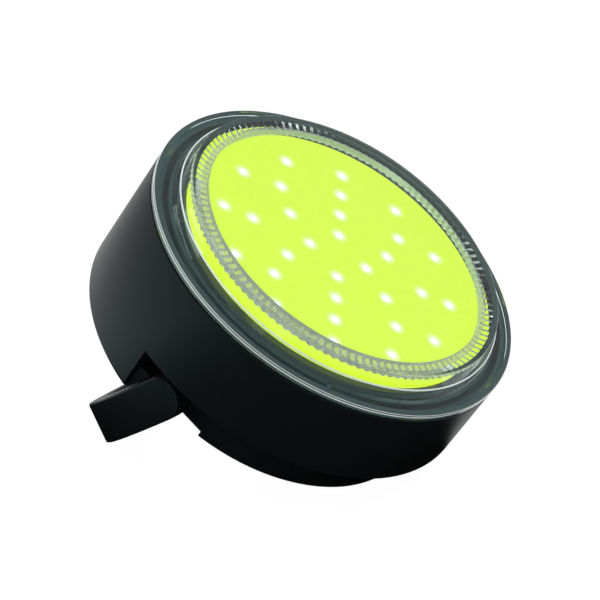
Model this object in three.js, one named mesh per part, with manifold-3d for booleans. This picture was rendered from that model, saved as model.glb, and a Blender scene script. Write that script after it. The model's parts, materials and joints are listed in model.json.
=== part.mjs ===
// LED safety flare: a round black puck with a clear ribbed lens over thirty LEDs, standing on its open bail.
// Units are millimetres. The flare is drawn in its own frame, whose Z is the lens axis with zero at the rear
// face, and whose X points to the side where the bail folds away. The whole is then tipped back on its bail.
import * as THREE from "three";
import { mergeVertices } from "three/addons/utils/BufferGeometryUtils.js";
import Module from "manifold-3d";

const wasm = await Module();
wasm.setup();

// Clearances
const gap = 0.3; // between pieces that touch or slide
const overrun = 2; // how far a cutter runs past the face that it cuts

// The magnet, in a cup of the battery door
const magnetRadius = 15;
const magnetThickness = 4;
const magnetSink = 0.2;
const cupFloor = 1;
const cupTop = magnetSink + magnetThickness + gap + cupFloor;

// The battery bay, for AA cells side by side
const cellWays = [-1, 1, -1]; // the way each cell's nub points along Y
const cellRadius = 7.1;
const cellLength = 50.2; // with its nub
const cellSpacing = 0.8;
const cellPitch = 2 * cellRadius + cellSpacing;
const cupClearance = 0.4; // between the magnet's cup and the cells
const cellHeight = cupTop + cupClearance + cellRadius; // axis of the cells above the rear face
const cellRoom = 0.6; // beside the outer cells
const cellHeadroom = 0.5;
const contactRoom = 3.8; // at each end of the cells
const bayHalfWidth = (cellPitch * (cellWays.length - 1)) / 2 + cellRadius + cellRoom;
const bayHalfLength = cellLength / 2 + contactRoom;
const bayTop = cellHeight + cellRadius + cellHeadroom;
const bayWall = 1.6;

// The drum, as large as the battery bay needs
const bayMargin = 24.2; // from the middle of the bay's half width and half length to the drum's outside
const boardRoom = 14.1; // above the bay, for the leads, the LED board and the lens flange
const housingRadius = (bayHalfWidth + bayHalfLength) / 2 + bayMargin; // 50, so the drum is 100 mm across
const housingFront = bayTop + boardRoom; // its front rim above its rear face
const wall = 2.4;
const rearWall = 2.5;
const rearRound = 1.6;

// The folding bail
const bailWidth = 10.9;
const bailThickness = 4.5;
const bailEdgeRound = 0.7;
const bailOpenAngle = 113.6; // degrees from shut in the rebate to open on its stop
const pivotHeight = 6.4;

// The rebate that the bail folds into, and the pockets round its two pivots
const rebateDepth = 6.9;
const rebateRadius = housingRadius - rebateDepth;
const rebateRoom = 0.85; // above the folded bail
const rebateHeight = pivotHeight + bailWidth / 2 + rebateRoom;
const lipRound = 1.3;
const pocketDepth = 10.8; // down to the flat floor of each pocket
const pocketFloor = housingRadius - pocketDepth; // from the lens axis
const pocketEnd = 10.6; // where the pocket meets the rear lip

// The lens, from its flange on the drum's rim up to its flat top
const flangeLow = housingFront + gap;
const flangeThickness = 2.2;
const flangeHigh = flangeLow + flangeThickness;
const flangeWidth = 5;
const windowHeight = 5.6; // the raised window above the flange
const lensTop = flangeHigh + windowHeight;
const lensRoof = 1.2; // thickness of the flat top
const windowBase = housingRadius - flangeWidth; // radius of the window's wall at the flange
const windowTaper = 2.1;
const windowRadius = windowBase - windowTaper; // radius of the window's wall at its top
const windowWall = 1.5;
const ribRoot = windowRadius - windowWall; // the ribs are wedges that point inwards from the wall
const ribLength = 3.3;

// The light engine
const faceMargin = 0.9;
const faceRadius = ribRoot - faceMargin;
const lightDrop = 0.2;
const lightPlane = flangeHigh - lightDrop; // top of the face plate and of the LEDs
const boardThickness = 1.6;
const boardDepth = 4; // from the light plane down to the underside of the LED board
const ringCounts = [4, 6, 8, 12];
const ringMargin = 9.3; // from the outer ring of LEDs to the edge of the face plate
const ringPitch = (faceRadius - ringMargin) / ringCounts.length; // from one ring of LEDs to the next
const ringTurn = -52.7; // degrees from X to the line on which all four rings have an LED

// Facets of the round surfaces
const drumSteps = 60;
const smallSteps = 14;
const tinySteps = 8;
const filletSteps = 2;
const wireSteps = 3;
const springStepsPerTurn = 8;
const leadSteps = 14;

const toRadians = THREE.MathUtils.degToRad;
const quarterTurn = Math.PI / 2;
const sides = [-1, 1];

// A closed geometry as a solid that can be joined and cut
function solid(geometry) {
  const bare = geometry.clone();
  bare.deleteAttribute("normal");
  bare.deleteAttribute("uv");
  const merged = mergeVertices(bare);
  const corners = merged.index.array;
  const faces = [];
  for (let i = 0; i < corners.length; i += 3) {
    const [a, b, c] = corners.slice(i, i + 3);
    if (a !== b && b !== c && c !== a) faces.push(a, b, c);
  }
  const vertProperties = merged.attributes.position.array;
  return new wasm.Manifold(new wasm.Mesh({ numProp: 3, vertProperties, triVerts: new Uint32Array(faces) }));
}

// The faces of a solid as a geometry again
function surface(body) {
  const { vertProperties, triVerts } = body.getMesh();
  const geometry = new THREE.BufferGeometry();
  geometry.setAttribute("position", new THREE.BufferAttribute(new Float32Array(vertProperties), 3));
  geometry.setIndex(new THREE.BufferAttribute(new Uint32Array(triVerts), 1));
  const flat = geometry.toNonIndexed();
  flat.computeVertexNormals();
  return flat;
}

// A solid turned round Z from a profile of [radius, height] points
function turned(points, steps = drumSteps) {
  const profile = points.map(([radius, height]) => new THREE.Vector2(radius, height));
  return solid(new THREE.LatheGeometry(profile, steps).rotateX(quarterTurn));
}

// A flat outline pushed up from one height to another
function prism(outline, low, high, steps = tinySteps) {
  const settings = { depth: high - low, bevelEnabled: false, curveSegments: steps };
  return solid(new THREE.ExtrudeGeometry(outline, settings).translate(0, 0, low));
}

// An outline in X and Z pushed along Y, from one side of the flare's middle to the other
function sidePrism(outline, from, to, steps = tinySteps) {
  const near = Math.min(from, to);
  const far = Math.max(from, to);
  const settings = { depth: far - near, bevelEnabled: false, curveSegments: steps };
  return solid(new THREE.ExtrudeGeometry(outline, settings).rotateX(quarterTurn).translate(0, far, 0));
}

// An upright cylinder
function post(radius, low, high, x = 0, y = 0, steps = smallSteps) {
  const shape = new THREE.CylinderGeometry(radius, radius, high - low, steps);
  return solid(shape.rotateX(quarterTurn).translate(x, y, (low + high) / 2));
}

// A cylinder along Y through a point of X and Z
function crossPin(radius, from, to, x, z, steps = smallSteps) {
  const shape = new THREE.CylinderGeometry(radius, radius, Math.abs(to - from), steps);
  return solid(shape.translate(x, (from + to) / 2, z));
}

// A block between two corners, given in any order
function block([x0, y0, z0], [x1, y1, z1]) {
  const shape = new THREE.BoxGeometry(Math.abs(x1 - x0), Math.abs(y1 - y0), Math.abs(z1 - z0));
  return solid(shape.translate((x0 + x1) / 2, (y0 + y1) / 2, (z0 + z1) / 2));
}

function outlineOf(points) {
  return new THREE.Shape(points.map(([x, y]) => new THREE.Vector2(x, y)));
}

// A rectangle with round corners, centred on the axis
function roundedRectangle(halfWidth, halfLength, corner) {
  const outline = new THREE.Shape();
  const [x, y] = [halfWidth - corner, halfLength - corner];
  outline.absarc(x, y, corner, 0, quarterTurn, false);
  outline.absarc(-x, y, corner, quarterTurn, Math.PI, false);
  outline.absarc(-x, -y, corner, Math.PI, Math.PI + quarterTurn, false);
  outline.absarc(x, -y, corner, Math.PI + quarterTurn, 2 * Math.PI, false);
  return outline;
}

// Points of a round corner in a profile: its centre, its size and the angles in degrees that it runs between
function fillet(radius, height, size, from, to) {
  const points = [];
  for (let i = 0; i <= filletSteps; i++) {
    const angle = toRadians(from + ((to - from) * i) / filletSteps);
    points.push([radius + size * Math.cos(angle), height + size * Math.sin(angle)]);
  }
  return points;
}

function finish(color, roughness, metalness = 0, more = {}) {
  return new THREE.MeshStandardMaterial({ color, roughness, metalness, ...more });
}

function addPiece(parent, name, geometry, material) {
  const mesh = new THREE.Mesh(geometry, material);
  mesh.name = name;
  parent.add(mesh);
  return mesh;
}

const flare = new THREE.Group();

// Sizes that the housing shares with the pieces that it carries
const doorRecess = 3.6; // depth of the seat that the door and its seal drop into
const doorMargin = 3.4; // from the edge of the battery opening to the edge of the door
const doorCorner = 5;
const doorEarRadius = 5.5;
const doorEarOffset = 4.9;
const doorHalfWidth = bayHalfWidth + doorMargin;
const doorHalfLength = bayHalfLength + doorMargin;
const doorEarReach = doorHalfWidth + doorEarOffset; // the door's screw from the lens axis
const bayCorner = 3;
const tabWidth = 6;
const tabReach = 1.8;
const tabThickness = 1;
const tabNeck = 1.2;
const tabSpacing = 24;
const bossHalfWidth = 4.7;
const strapInner = housingRadius - bailThickness;
const bossFace = Math.sqrt(strapInner ** 2 - (bailWidth / 2) ** 2) - gap; // clear of the curved strap
const collarFace = strapInner - gap; // a round collar on the boss, which the strap's end slides on
const collarRadius = 2.6;
const pinRadius = 1.5;
const pinDepth = 4.4;
const lean = toRadians(bailOpenAngle) - quarterTurn;
const openEdge = bailWidth / 2 + gap; // the open bail's edge from its pivot, with the clearance
const openEdgeAt = (z) => -openEdge / Math.cos(lean) - (pivotHeight - z) * Math.tan(lean);
const rebateHalfAngle = quarterTurn - Math.asin(openEdgeAt(0) / strapInner); // clear of the open bail
const ledgeWidth = 3.2; // the ledge that the lens seal lies on
const ledgeRadius = housingRadius - wall - ledgeWidth;
const ledgeDrop = 8.6;
const ledgeHigh = flangeLow - ledgeDrop;
const snapDrop = 4;
const snapHeight = 1.3;
const snapLow = flangeLow - snapDrop; // the snap ridges of the lens skirt, and the groove that they sit in
const snapHigh = snapLow + snapHeight;
const snapReach = 0.5;
const boardLow = lightPlane - boardDepth;
const boardScrewInset = 4;
const boardScrewReach = faceRadius - boardScrewInset;
const screwRadius = 1.1;
const screwLength = 7;
const bayCollar = doorHalfWidth + bayWall; // outside of the collar round the battery bay
const buttonRoom = 1.5; // between that collar and the flange of the push button
const buttonEdge = 2.8; // between that flange and the drum's wall
const buttonFlange = (housingRadius - wall - bayCollar - buttonRoom - buttonEdge) / 2;
const buttonLip = 1.8; // how far the flange reaches past the hole that the button sits in
const buttonRadius = buttonFlange - buttonLip;
const buttonReach = bayCollar + buttonRoom + buttonFlange; // from the lens axis
const postRadius = 3.2; // of the posts that carry both boards
const controlBoardLow = 8.7;
const controlInset = 1; // the board is this much narrower than the button's flange on each side
const controlHalfWidth = buttonFlange - controlInset;
const controlScrewOffset = buttonFlange + postRadius;
const controlScrewInset = 3;
const controlHalfLength = controlScrewOffset + controlScrewInset;
const tagWidth = 3;
const contactThickness = 0.5;
const contactOuter = bayHalfLength - gap; // back of the battery contacts, from the middle of the bay

// Drum housing: one black moulding that carries everything else
const pie = { reachShare: 1.5, turns: [-1, -0.5, 0, 0.5, 1] }; // a sector with straight outer edges

function pieSlice(halfAngle, low, high) {
  const reach = housingRadius * pie.reachShare;
  const rim = pie.turns.map((turn) => {
    const angle = turn * halfAngle;
    return [reach * Math.cos(angle), reach * Math.sin(angle)];
  });
  return prism(outlineOf([[0, 0], ...rim]), low, high);
}

// The pocket round one pivot, with a wall of the given thickness kept round it
function pocket(side, kept) {
  const floor = pocketFloor - kept;
  const outer = housingRadius + overrun;
  const slant = Math.tan(rebateHalfAngle - quarterTurn);
  const plan = [
    [-floor * slant - kept, floor],
    [-outer * slant - kept, outer],
    [pocketEnd + kept, outer],
    [pocketEnd + kept, floor],
  ];
  const turnedRound = side > 0 ? plan : plan.map(([x, y]) => [x, -y]);
  return prism(outlineOf(turnedRound), -overrun, rebateHeight + kept);
}

// All that the folded bail needs cleared from the drum, with a wall of the given thickness kept round it
function rebateSpace(kept) {
  const inner = rebateRadius - kept;
  const outer = housingRadius + overrun;
  const top = rebateHeight + kept;
  const ring = turned([
    [inner - lipRound, -overrun],
    [outer, -overrun],
    [outer, top],
    [inner, top],
    ...fillet(inner - lipRound, lipRound, lipRound, 0, -90),
    [inner - lipRound, -overrun],
  ]);
  const halfAngle = rebateHalfAngle + kept / rebateRadius;
  const cleared = ring.intersect(pieSlice(halfAngle, -2 * overrun, top + overrun));
  return cleared.add(pocket(-1, kept)).add(pocket(1, kept));
}

// The door's outline with some clearance round it: a rounded rectangle and an ear for the screw
function doorPlan(clearance, low, high) {
  const ear = doorEarRadius + clearance;
  const corner = doorCorner + clearance;
  const plate = roundedRectangle(doorHalfWidth + clearance, doorHalfLength + clearance, corner);
  return prism(plate, low, high, filletSteps)
    .add(post(ear, low, high, doorEarReach, 0))
    .add(block([0, -ear, low], [doorEarReach, ear, high]));
}

function drum() {
  const inner = housingRadius - wall;
  const profile = [
    [0, 0],
    ...fillet(housingRadius - rearRound, rearRound, rearRound, -90, 0),
    [housingRadius, housingFront],
    [0, housingFront],
  ];
  const cavity = turned([
    [0, rearWall],
    [inner, rearWall],
    [inner, snapLow - gap],
    [inner + snapReach + gap, snapLow - gap],
    [inner + snapReach + gap, snapHigh + gap],
    [inner, snapHigh + gap],
    [inner, housingFront + overrun],
    [0, housingFront + overrun],
  ]);
  const ledgeDepth = inner - ledgeRadius; // its underside slopes so that it leaves the mould
  const ledge = turned([
    [inner + wall / 2, ledgeHigh - 2 * ledgeDepth],
    [inner + wall / 2, ledgeHigh],
    [ledgeRadius, ledgeHigh],
    [ledgeRadius, ledgeHigh - ledgeDepth / 2],
    [inner, ledgeHigh - 2 * ledgeDepth],
    [inner + wall / 2, ledgeHigh - 2 * ledgeDepth],
  ]);
  return turned(profile).subtract(rebateSpace(0)).subtract(cavity.subtract(rebateSpace(wall))).add(ledge);
}

function batteryBay() {
  const collar = doorMargin + bayWall;
  const collarTop = doorRecess + bayWall;
  const earWall = doorEarRadius + bayWall;
  return prism(roundedRectangle(bayHalfWidth + collar, bayHalfLength + collar, bayCorner + collar),
    rearWall / 2, collarTop, filletSteps)
    .add(prism(roundedRectangle(bayHalfWidth + bayWall, bayHalfLength + bayWall, bayCorner + bayWall),
      rearWall / 2, bayTop + bayWall, filletSteps))
    .add(post(earWall, rearWall / 2, collarTop, doorEarReach, 0))
    .add(block([bayHalfWidth, -earWall, rearWall / 2], [doorEarReach, earWall, collarTop]))
    .add(post(2 * screwRadius + bayWall / 2, rearWall / 2, doorRecess + screwLength, doorEarReach, 0,
      tinySteps));
}

function housing() {
  const restAngles = [45, 135, 225, 315]; // plain posts under the LED board, in degrees
  const pegRadius = 1.1;
  const boardRest = boardLow - gap;
  const controlRest = controlBoardLow - gap;
  const pegTop = controlBoardLow + boardThickness;
  let body = drum().add(batteryBay());
  for (const angle of restAngles.map(toRadians)) {
    const [x, y] = [boardScrewReach * Math.cos(angle), boardScrewReach * Math.sin(angle)];
    body = body.add(post(postRadius, rearWall / 2, boardRest, x, y, tinySteps));
  }
  for (const side of sides) {
    const boardY = side * boardScrewReach;
    const controlPost = post(postRadius, rearWall / 2, controlRest, -buttonReach, side * controlScrewOffset,
      tinySteps);
    const boardPost = post(postRadius, rebateHeight + wall / 2, boardRest, 0, boardY, tinySteps);
    const boardHole = post(screwRadius + gap, boardRest - screwLength, boardLow, 0, boardY, tinySteps);
    body = body.add(controlPost).add(boardPost).subtract(boardHole);
  }
  body = body
    .add(post(pegRadius, controlRest, pegTop, -buttonReach, controlScrewOffset, tinySteps))
    .subtract(post(screwRadius + gap, rearWall + gap, controlBoardLow, -buttonReach, -controlScrewOffset,
      tinySteps))
    .subtract(post(buttonRadius + gap, -overrun, rearWall + overrun, -buttonReach, 0))
    .subtract(prism(roundedRectangle(bayHalfWidth, bayHalfLength, bayCorner), -overrun, bayTop, filletSteps))
    .subtract(doorPlan(gap, -overrun, doorRecess))
    .subtract(post(screwRadius + gap, 0, doorRecess + screwLength - gap, doorEarReach, 0, tinySteps));

  for (const side of sides) {
    const tabY = (side * tabSpacing) / 2;
    const slotHalf = tabWidth / 2 + gap;
    const tabSlot = block(
      [-doorHalfWidth - tabReach - gap, tabY - slotHalf, rearWall],
      [tabNeck + gap - doorHalfWidth, tabY + slotHalf, rearWall + tabThickness + 2 * gap],
    );
    const tagX = side * cellPitch;
    const tagY = side * (contactOuter - contactThickness / 2);
    const tagSlot = block(
      [tagX - tagWidth / 2 - gap, tagY - contactThickness / 2 - gap, bayTop - overrun],
      [tagX + tagWidth / 2 + gap, tagY + contactThickness / 2 + gap, bayTop + bayWall + overrun],
    );
    body = body.subtract(tabSlot).subtract(tagSlot);
  }

  // a boss for the pivot pin and a stop for the open bail stand in each pocket
  const stopHeight = 7.2;
  const stopInset = 2.6;
  const stopFace = housingRadius - stopInset;
  const stop = outlineOf([
    [-pocketEnd - wall, 0],
    [openEdgeAt(0), 0],
    [openEdgeAt(stopHeight), stopHeight],
    [-pocketEnd - wall, stopHeight],
  ]);
  for (const side of sides) {
    const root = side * (pocketFloor - wall / 2);
    const webTop = rebateHeight + wall / 2;
    body = body
      .add(block([-bossHalfWidth, root, pivotHeight], [bossHalfWidth, side * bossFace, webTop]))
      .add(crossPin(bossHalfWidth, root, side * bossFace, 0, pivotHeight))
      .add(crossPin(collarRadius, root, side * collarFace, 0, pivotHeight))
      .add(sidePrism(stop, root, side * stopFace))
      .subtract(crossPin(pinRadius + gap, side * (collarFace - pinDepth), side * (collarFace + overrun), 0,
        pivotHeight, tinySteps));
  }
  return body;
}
addPiece(flare, "housing", surface(housing()), finish(0x14191b, 0.45));

// Lens: one clear moulding with a flat top, a beaded flange, a snap-in skirt and a ring of inner ribs
const skirtRadius = housingRadius - wall - gap;
const skirtThickness = 1.7;
const skirtInner = skirtRadius - skirtThickness;
const sealWidth = 1.8;
const skirtLow = ledgeHigh + sealWidth + 2 * gap;

function lens() {
  const topRound = 0.6;
  const grooveDepth = 0.7; // between the bead round the flange and the window's wall
  const grooveHigh = flangeHigh - grooveDepth;
  const beadWidth = 1.4;
  const beadInner = housingRadius - beadWidth;
  const beadRound = 0.5;
  const ribDrop = 1.2;
  const ribLow = lightPlane + ribDrop;
  const ribCount = 120;
  const pryAngle = 53.4; // degrees from X to a short slot in the groove's floor for opening the lens
  const pryWidth = 1.2;
  const pryDepth = 0.5;
  const snapAngles = [0, 90, 180, 270];
  const snapHalfWidth = 6;
  const outside = turned([
    [0, skirtLow],
    [skirtRadius, skirtLow],
    [skirtRadius, flangeLow],
    [housingRadius, flangeLow],
    ...fillet(housingRadius - beadRound, flangeHigh - beadRound, beadRound, 0, 90),
    [beadInner, flangeHigh],
    [beadInner - grooveDepth, grooveHigh],
    [windowBase, grooveHigh],
    ...fillet(windowRadius - topRound, lensTop - topRound, topRound, 0, 90),
    [0, lensTop],
  ]);
  const teeth = [];
  for (let i = 0; i < 2 * ribCount; i++) {
    const angle = (Math.PI * i) / ribCount;
    const radius = i % 2 ? ribRoot : ribRoot - ribLength;
    teeth.push([radius * Math.cos(angle), radius * Math.sin(angle)]);
  }
  let body = outside
    .subtract(prism(outlineOf(teeth), ribLow - overrun, lensTop - lensRoof))
    .subtract(post(ribRoot, skirtLow - overrun, ribLow, 0, 0, drumSteps))
    .subtract(post(skirtInner, skirtLow - overrun, flangeLow, 0, 0, drumSteps));
  const ridges = turned([
    [skirtRadius - gap, snapLow],
    [skirtRadius + snapReach, snapLow],
    [skirtRadius + snapReach, (snapLow + snapHigh) / 2],
    [skirtRadius, snapHigh],
    [skirtRadius - gap, snapHigh],
    [skirtRadius - gap, snapLow],
  ]);
  for (const angle of snapAngles) {
    const window = new THREE.BoxGeometry(2 * wall, 2 * snapHalfWidth, 2 * wall);
    window.translate(skirtRadius, 0, (snapLow + snapHigh) / 2).rotateZ(toRadians(angle));
    body = body.add(ridges.intersect(solid(window)));
  }
  const grooveOuter = beadInner - grooveDepth;
  const slot = new THREE.BoxGeometry(grooveOuter - windowBase - 2 * gap, pryWidth, 2 * pryDepth);
  slot.translate((windowBase + grooveOuter) / 2, 0, grooveHigh).rotateZ(toRadians(-pryAngle));
  return body.subtract(solid(slot));
}
addPiece(flare, "lens", surface(lens()), finish(0xdfe8e6, 0.05, 0, { transparent: true, opacity: 0.35 }));

// Lens seal: a rubber ring squeezed between the skirt and the housing's ledge
const sealSides = 6;
const sealSteps = 40;
const sealRadius = (ledgeRadius + skirtRadius) / 2;
const sealRing = new THREE.TorusGeometry(sealRadius, sealWidth / 2, sealSides, sealSteps);
const lensSeal = addPiece(flare, "lens_seal", surface(solid(sealRing)), finish(0x1b1b1b, 0.9));
lensSeal.position.z = ledgeHigh + gap + sealWidth / 2;

// Face plate: the yellow-green plate that the LEDs shine through, one round hole for each
const plateThickness = 0.8;
const ledWindow = 1.1; // radius of each LED's round window
const ledPlaces = [];
ringCounts.forEach((count, ring) => {
  for (let i = 0; i < count; i++) {
    const angle = toRadians(ringTurn + (360 * i) / count);
    const radius = ringPitch * (ring + 1);
    const [x, y] = [radius * Math.cos(angle), radius * Math.sin(angle)];
    ledPlaces.push({ ring: ring + 1, number: i + 1, angle, x, y });
  }
});

function facePlate() {
  const outline = new THREE.Shape();
  outline.absarc(0, 0, faceRadius, 0, 2 * Math.PI, false);
  const settings = { depth: plateThickness, bevelEnabled: false, curveSegments: drumSteps / 2 };
  let body = solid(new THREE.ExtrudeGeometry(outline, settings));
  for (const { x, y } of ledPlaces) {
    body = body.subtract(post(ledWindow + gap, -overrun, overrun, x, y, tinySteps));
  }
  return body;
}
const plateFinish = finish(0xd2ff55, 0.5, 0, { emissive: 0x7fae10 });
const plate = addPiece(flare, "face_plate", surface(facePlate()), plateFinish);
plate.position.z = lightPlane - plateThickness;

// LEDs: a white body with a round window, all of one shape
const ledWidth = 3.5;
const ledLength = 2.8;
const ledBase = boardLow + boardThickness + gap;
const ledShoulder = lightPlane - plateThickness - gap;
const ledShape = surface(
  block([-ledWidth / 2, -ledLength / 2, ledBase], [ledWidth / 2, ledLength / 2, ledShoulder])
    .add(post(ledWindow, (ledBase + ledShoulder) / 2, lightPlane, 0, 0, tinySteps)),
);
for (const { ring, number, angle, x, y } of ledPlaces) {
  const led = addPiece(flare, `led_ring${ring}_${number}`, ledShape,
    finish(0xffffff, 0.4, 0, { emissive: 0xffffff }));
  led.position.set(x, y, 0);
  led.rotation.z = angle;
}

// LED board, on its posts, with holes for its two screws
function ledBoard() {
  let body = post(faceRadius, boardLow, boardLow + boardThickness, 0, 0, drumSteps);
  for (const side of sides) {
    body = body.subtract(post(screwRadius + gap, boardLow - overrun, lightPlane, 0, side * boardScrewReach,
      tinySteps));
  }
  return body;
}
addPiece(flare, "led_board", surface(ledBoard()), finish(0x17191a, 0.6));

// Low-headed screws, drawn with the underside of the head at zero and the shank downwards
const headRadius = 2.4;
const headHeight = 1;
const crossWidth = 0.7;
const crossLengthShare = 0.7; // the cross slot's length as a share of the head's width

function screw(shank) {
  const long = headRadius * crossLengthShare;
  const short = crossWidth / 2;
  const floor = headHeight / 2;
  return post(screwRadius, -shank, floor, 0, 0, tinySteps)
    .add(post(headRadius, 0, headHeight, 0, 0, smallSteps))
    .subtract(block([-long, -short, floor], [long, short, headHeight + overrun]))
    .subtract(block([-short, -long, floor], [short, long, headHeight + overrun]));
}
const screwShape = surface(screw(screwLength));
sides.forEach((side, i) => {
  const piece = addPiece(flare, `led_board_screw_${i + 1}`, screwShape, finish(0xb9bdc0, 0.3, 1));
  piece.position.set(0, side * boardScrewReach, boardLow + boardThickness + gap);
});

// Control board beside the battery bay, with the switch on its rear side
function controlBoard() {
  const top = controlBoardLow + boardThickness;
  let body = block([-buttonReach - controlHalfWidth, -controlHalfLength, controlBoardLow],
    [-buttonReach + controlHalfWidth, controlHalfLength, top]);
  for (const side of sides) {
    body = body.subtract(post(screwRadius + gap, controlBoardLow - overrun, top + overrun, -buttonReach,
      side * controlScrewOffset, tinySteps));
  }
  return body;
}
addPiece(flare, "control_board", surface(controlBoard()), finish(0x1f6b3a, 0.5));
const controlScrew = addPiece(flare, "control_board_screw", surface(screw(controlBoardLow - rearWall)),
  finish(0xb9bdc0, 0.3, 1));
controlScrew.position.set(-buttonReach, -controlScrewOffset, controlBoardLow + boardThickness + gap);

// Push button: a rubber cap through the rear wall, with a flange inside and a stem on the switch's plunger
const buttonSink = 0.4; // how far the cap lies below the rear face
const buttonTravel = 0.6;
const capFlange = 0.8; // thickness of the button's flange
const capRound = 0.6;
const stemRadius = 2;
const plungerRadius = 1.6;
const plungerLength = 2;
const switchHalf = 3;
const flangeBase = rearWall + gap;
const stemTop = flangeBase + capFlange + gap;
const pushButton = turned([
  [0, buttonSink],
  ...fillet(buttonRadius - capRound, buttonSink + capRound, capRound, -90, 0),
  [buttonRadius, flangeBase],
  [buttonFlange, flangeBase],
  [buttonFlange, flangeBase + capFlange],
  [stemRadius, flangeBase + capFlange],
  [stemRadius, stemTop],
  [0, stemTop],
], smallSteps);
const plungerBase = stemTop + gap;
const button = new THREE.Group();
button.position.x = -buttonReach;
flare.add(button);
addPiece(button, "push_button", surface(pushButton), finish(0x1c2021, 0.85));
addPiece(button, "switch_plunger", surface(post(plungerRadius, plungerBase, plungerBase + plungerLength)),
  finish(0x202020, 0.6));

function switchBody() {
  const base = plungerBase + buttonTravel + gap;
  return block([-switchHalf, -switchHalf, base], [switchHalf, switchHalf, controlBoardLow - gap])
    .subtract(post(plungerRadius + gap, base - overrun, plungerBase + plungerLength + buttonTravel + gap));
}
const switchPiece = addPiece(flare, "tact_switch", surface(switchBody()), finish(0x8f9496, 0.4, 0.6));
switchPiece.position.x = -buttonReach;

// AA cells, alternate ways round; each is pushed by its spring against the contact at its nub
const nubRadius = 2.75;
const nubHeight = 1.2;
const cellRound = 0.8;
const cell = turned([
  [0, 0],
  ...fillet(cellRadius - cellRound, cellRound, cellRound, -90, 0),
  ...fillet(cellRadius - cellRound, cellLength - nubHeight - cellRound, cellRound, 0, 90),
  [nubRadius, cellLength - nubHeight],
  [nubRadius, cellLength],
  [0, cellLength],
], smallSteps);
const cellShape = surface(cell);
const contactFace = contactOuter - contactThickness;
const nubEnd = contactFace - gap;
cellWays.forEach((way, i) => {
  const piece = addPiece(flare, `battery_${i + 1}`, cellShape, finish(0xa9acae, 0.35, 0.5));
  piece.position.set(cellPitch * (i - 1), way * (nubEnd - cellLength), cellHeight);
  piece.rotation.x = -way * quarterTurn;
});

// Contacts: stamped plates at both ends of the bay, with a tapered coil spring at each flat cell end
const springWire = 0.4; // radius of the wire
const springTurns = 3.5;
const springBase = 4.4;
const springTip = 2.8;
const springLength = 2 * contactFace - cellLength - 2 * gap;
const plateHalf = 5.6;

class TaperedCoil extends THREE.Curve {
  getPoint(share, target = new THREE.Vector3()) {
    const angle = 2 * Math.PI * springTurns * share;
    const radius = springBase + (springTip - springBase) * share;
    const rise = (springLength - springWire) * share;
    return target.set(radius * Math.cos(angle), radius * Math.sin(angle), rise);
  }
}

function springSolid() {
  const wire = new THREE.Shape();
  wire.absarc(0, 0, springWire, 0, 2 * Math.PI, false);
  const steps = Math.round(springTurns * springStepsPerTurn);
  const settings = { steps, curveSegments: wireSteps, bevelEnabled: false, extrudePath: new TaperedCoil() };
  return new THREE.ExtrudeGeometry(wire, settings);
}

// A contact at one end of the bay, from one cell to another; springs says which cells meet a spring
function contact(side, cells, springs, tag) {
  const x = cells.map((i) => cellPitch * (i - 1));
  const low = cellHeight - plateHalf;
  const high = cellHeight + plateHalf;
  let body = block([Math.min(...x) - plateHalf, side * contactFace, low],
    [Math.max(...x) + plateHalf, side * contactOuter, high]);
  for (const i of springs) {
    const coil = springSolid().rotateX(side * quarterTurn).translate(cellPitch * (i - 1), side * contactFace,
      cellHeight);
    body = body.add(solid(coil));
  }
  if (tag) {
    body = body.add(block([x[0] - tagWidth / 2, side * contactFace, cellHeight],
      [x[0] + tagWidth / 2, side * contactOuter, bayTop + bayWall + tagWidth / 2]));
  }
  return body;
}
const nickel = () => finish(0xc9c6bd, 0.3, 1);
addPiece(flare, "positive_contact", surface(contact(-1, [0], [], true)), nickel());
addPiece(flare, "negative_contact", surface(contact(1, [2], [2], true)), nickel());
addPiece(flare, "link_contact_1", surface(contact(1, [0, 1], [0], false)), nickel());
addPiece(flare, "link_contact_2", surface(contact(-1, [1, 2], [1], false)), nickel());

// Battery door, its seal and its screw, and the magnet in its outer face
const doorThickness = 2.2;
const sealThickness = doorRecess - doorThickness - 2 * gap;
const screwSink = 0.9;

function batteryDoor() {
  let body = doorPlan(0, 0, doorThickness)
    .add(post(magnetRadius + gap + bayWall, doorThickness / 2, cupTop, 0, 0, drumSteps / 2))
    .subtract(post(magnetRadius + gap, -overrun, cupTop - cupFloor, 0, 0, drumSteps / 2))
    .subtract(post(screwRadius + gap, -overrun, doorThickness + overrun, doorEarReach, 0, tinySteps))
    .subtract(post(headRadius + gap, -overrun, screwSink + gap, doorEarReach, 0));
  for (const side of sides) {
    const y = (side * tabSpacing) / 2;
    const neckEnd = tabNeck - doorHalfWidth;
    const tab = block([-doorHalfWidth - tabReach, y - tabWidth / 2, rearWall + gap],
      [neckEnd, y + tabWidth / 2, rearWall + gap + tabThickness]);
    const neck = block([-doorHalfWidth, y - tabWidth / 2, doorThickness / 2],
      [neckEnd, y + tabWidth / 2, rearWall + gap + tabThickness]);
    body = body.add(tab).add(neck);
  }
  return body;
}
addPiece(flare, "battery_door", surface(batteryDoor()), finish(0x171b1d, 0.5));

const sealInset = tabNeck + gap;
const sealLow = doorThickness + gap;
const sealOuter = roundedRectangle(doorHalfWidth - sealInset, doorHalfLength - sealInset,
  doorCorner - sealInset);
const sealInner = roundedRectangle(bayHalfWidth + gap, bayHalfLength + gap, bayCorner + gap);
const doorSeal = prism(sealOuter, sealLow, sealLow + sealThickness, filletSteps)
  .subtract(prism(sealInner, 0, doorRecess + overrun, filletSteps));
addPiece(flare, "door_seal", surface(doorSeal), finish(0x2b2b2b, 0.9));

const doorScrew = addPiece(flare, "door_screw", surface(screw(screwLength)), finish(0xb9bdc0, 0.3, 1));
doorScrew.position.set(doorEarReach, 0, screwSink);
doorScrew.rotation.x = Math.PI;

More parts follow.
